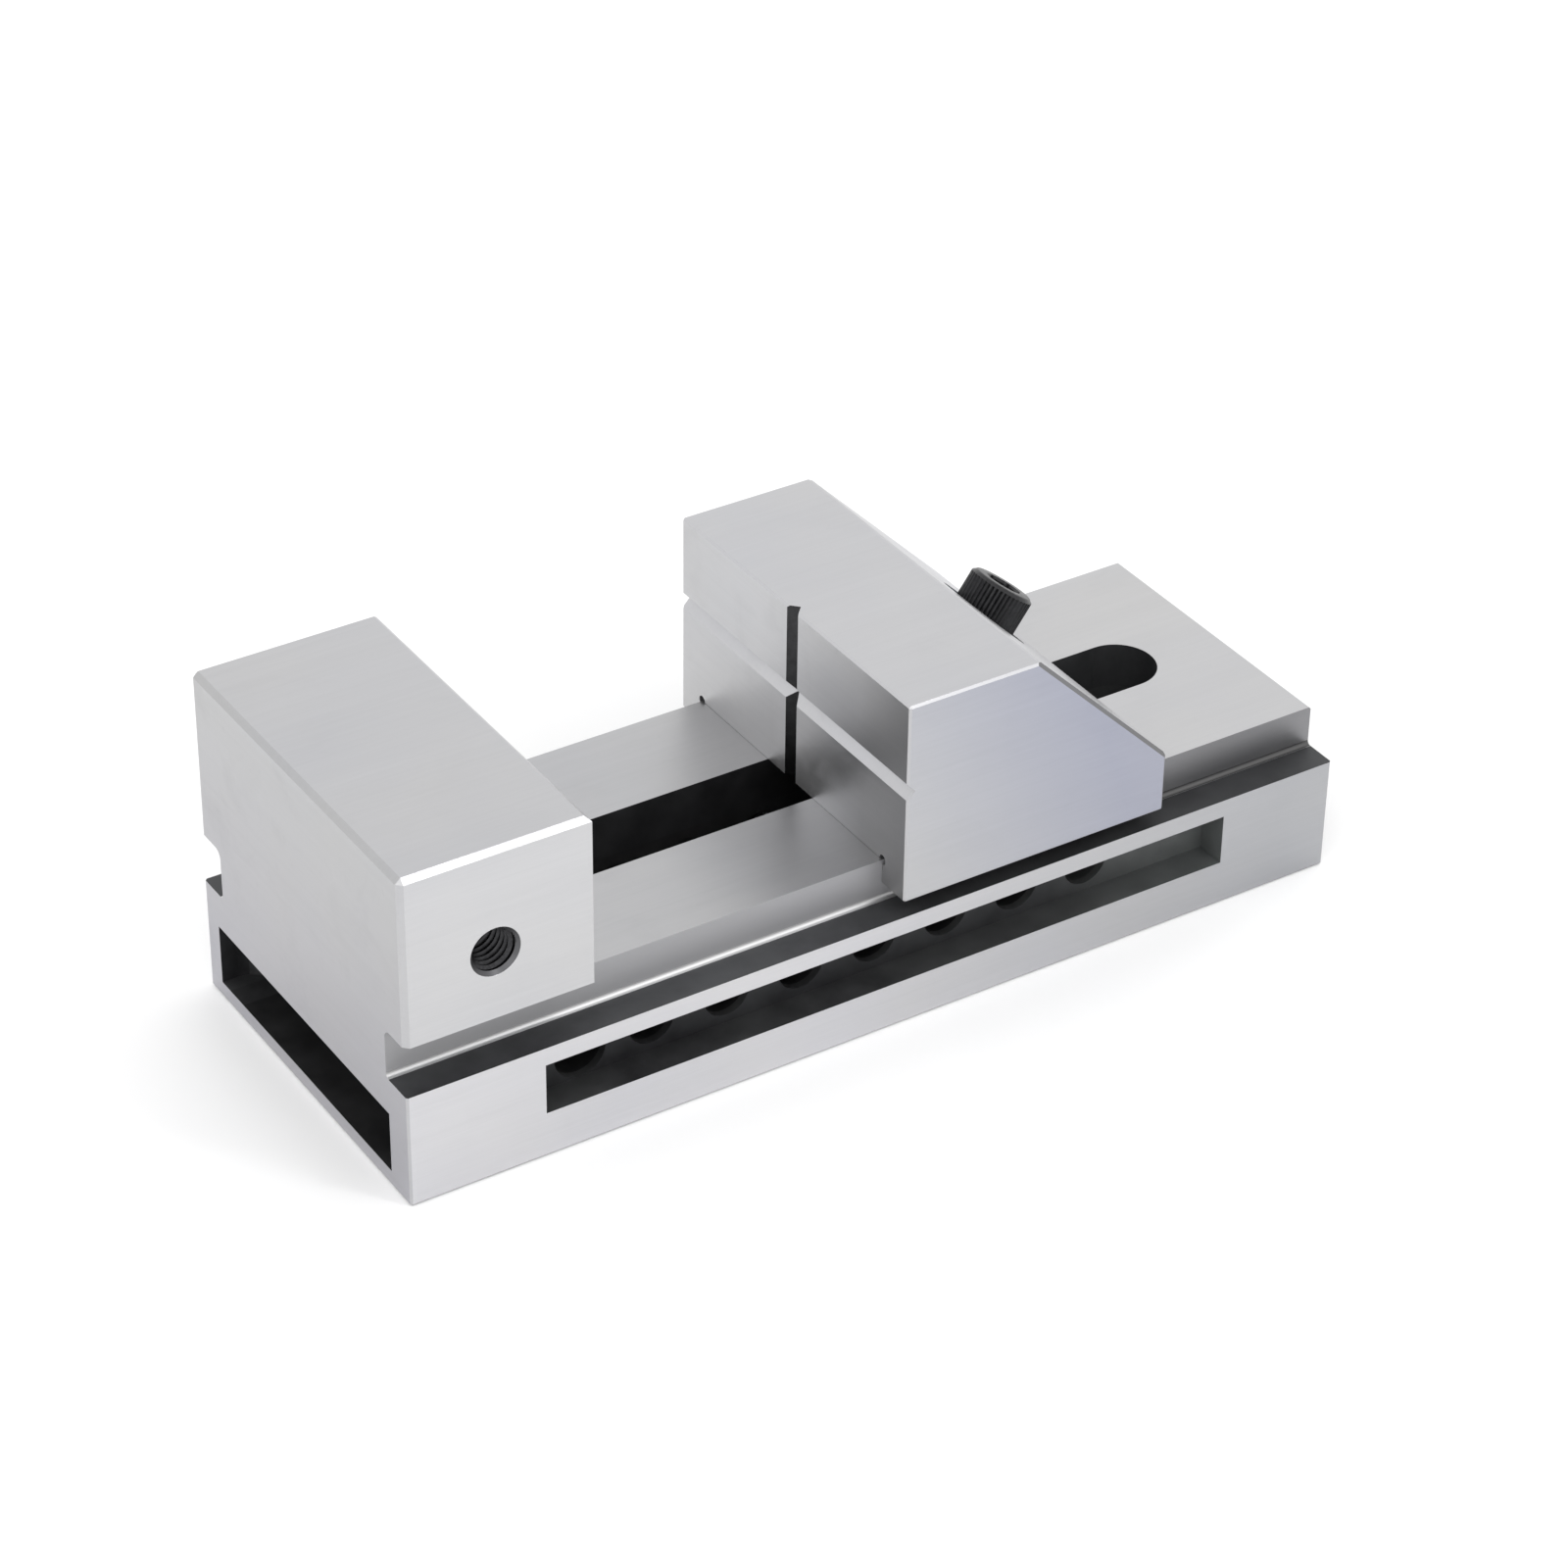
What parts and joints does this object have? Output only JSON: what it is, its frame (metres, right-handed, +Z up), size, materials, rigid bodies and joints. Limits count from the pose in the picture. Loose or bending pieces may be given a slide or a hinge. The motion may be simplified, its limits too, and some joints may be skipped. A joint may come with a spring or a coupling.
{
  "type": "tool-maker's vise",
  "caption": "Ground steel tool-maker's vise: fixed jaw on a railed base, sliding jaw pulled down by an inclined socket-head screw and cross pin.",
  "frame": {"origin": "middle of the base's underside", "axes": "+X along the rails from the fixed jaw towards the tail, +Y across the jaws, +Z up"},
  "size_m": [0.19, 0.073, 0.0655],
  "materials": {
    "ground_steel": "fine ground, hardened tool steel",
    "hardened_steel": "ground, hardened",
    "black_oxide": "black oxide, satin"
  },
  "bodies": {
    "vise_body": {"vise_body": "ground_steel"},
    "movable_jaw": {"movable_jaw": "ground_steel", "washer_seat": "hardened_steel"},
    "ball_washer": {"ball_washer": "black_oxide"},
    "clamping_screw": {"clamping_screw": "black_oxide"},
    "pull_block": {"pull_block": "black_oxide", "cross_pin": "hardened_steel", "pin_lock_screw": "black_oxide"}
  },
  "joints": [
    {"name": "jaw_slide", "type": "slide", "parent": "vise_body", "child": "movable_jaw", "axis": [1, 0, 0], "range_m": [-0.0614, 0.0385]},
    {"name": "screw_swing", "type": "hinge", "parent": "movable_jaw", "child": "ball_washer", "pos_m": [0.0466, 0, 0.0566], "axis": [0, 1, 0], "range_deg": [0, 3]},
    {"name": "screw_spin", "type": "hinge", "parent": "ball_washer", "child": "clamping_screw", "pos_m": [0.0466, 0, 0.0566], "axis": [0.592, 0, 0.8059], "range_deg": [-580, 665]},
    {"name": "block_travel", "type": "slide", "parent": "ball_washer", "child": "pull_block", "axis": [0.592, 0, 0.8059], "range_m": [-0.0023, 0.002]}
  ],
  "couplings": [
    {"joint": "screw_spin", "follows": "block_travel", "rad_per_m": -5026.5}
  ]
}
